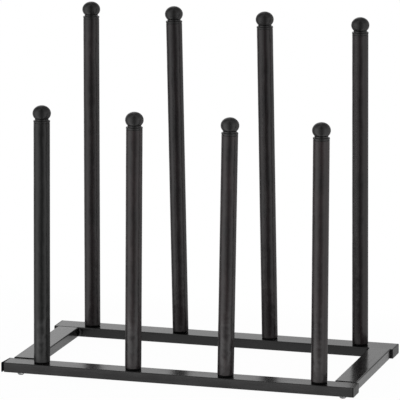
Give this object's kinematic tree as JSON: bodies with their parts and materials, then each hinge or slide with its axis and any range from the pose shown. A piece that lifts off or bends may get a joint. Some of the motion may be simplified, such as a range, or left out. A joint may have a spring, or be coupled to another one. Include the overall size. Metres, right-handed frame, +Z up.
{
  "type": "boot rack",
  "caption": "Free-standing boot rack: a flat tube base with a front row of short and a back row of tall round posts, each with a ball knob, that hold boots upside down.",
  "frame": {"origin": "on the floor, under the middle of the base", "axes": "+X along the long rails, to the right seen from the front; +Y to the back, where the tall posts stand; +Z up"},
  "size_m": [0.5118, 0.2767, 0.4963],
  "materials": {
    "rail_paint": "semi-gloss black paint with a faint grain",
    "post_paint": "satin black paint, very slightly warm",
    "spigot_paint": "semi-gloss black paint",
    "knob_plastic": "satin moulded black",
    "cap_plastic": "fine moulded black",
    "insert_plastic": "moulded black",
    "zinc_steel": "bright zinc plate",
    "clear_rubber": "clear, soft"
  },
  "bodies": {
    "root": {"front_rail": "rail_paint", "rear_rail": "rail_paint", "left_side_rail": "rail_paint", "right_side_rail": "rail_paint", "front_left_end_cap": "cap_plastic", "front_left_foot": "clear_rubber", "front_left_spigot": "spigot_paint", "front_left_corner_screw": "zinc_steel", "front_right_end_cap": "cap_plastic", "front_right_foot": "clear_rubber", "front_right_spigot": "spigot_paint", "front_right_corner_screw": "zinc_steel", "rear_left_end_cap": "cap_plastic", "rear_left_foot": "clear_rubber", "rear_left_spigot": "spigot_paint", "rear_left_corner_screw": "zinc_steel", "rear_right_end_cap": "cap_plastic", "rear_right_foot": "clear_rubber", "rear_right_spigot": "spigot_paint", "rear_right_corner_screw": "zinc_steel", "front_post_1": "post_paint", "front_knob_1": "knob_plastic", "front_post_insert_1": "insert_plastic", "front_post_bolt_1": "zinc_steel", "front_post_washer_1": "zinc_steel", "front_post_2": "post_paint", "front_knob_2": "knob_plastic", "front_post_insert_2": "insert_plastic", "front_post_bolt_2": "zinc_steel", "front_post_washer_2": "zinc_steel", "front_post_3": "post_paint", "front_knob_3": "knob_plastic", "front_post_insert_3": "insert_plastic", "front_post_bolt_3": "zinc_steel", "front_post_washer_3": "zinc_steel", "front_post_4": "post_paint", "front_knob_4": "knob_plastic", "front_post_insert_4": "insert_plastic", "front_post_bolt_4": "zinc_steel", "front_post_washer_4": "zinc_steel", "rear_post_1": "post_paint", "rear_knob_1": "knob_plastic", "rear_post_insert_1": "insert_plastic", "rear_post_bolt_1": "zinc_steel", "rear_post_washer_1": "zinc_steel", "rear_post_2": "post_paint", "rear_knob_2": "knob_plastic", "rear_post_insert_2": "insert_plastic", "rear_post_bolt_2": "zinc_steel", "rear_post_washer_2": "zinc_steel", "rear_post_3": "post_paint", "rear_knob_3": "knob_plastic", "rear_post_insert_3": "insert_plastic", "rear_post_bolt_3": "zinc_steel", "rear_post_washer_3": "zinc_steel", "rear_post_4": "post_paint", "rear_knob_4": "knob_plastic", "rear_post_insert_4": "insert_plastic", "rear_post_bolt_4": "zinc_steel", "rear_post_washer_4": "zinc_steel"}
  },
  "joints": []
}
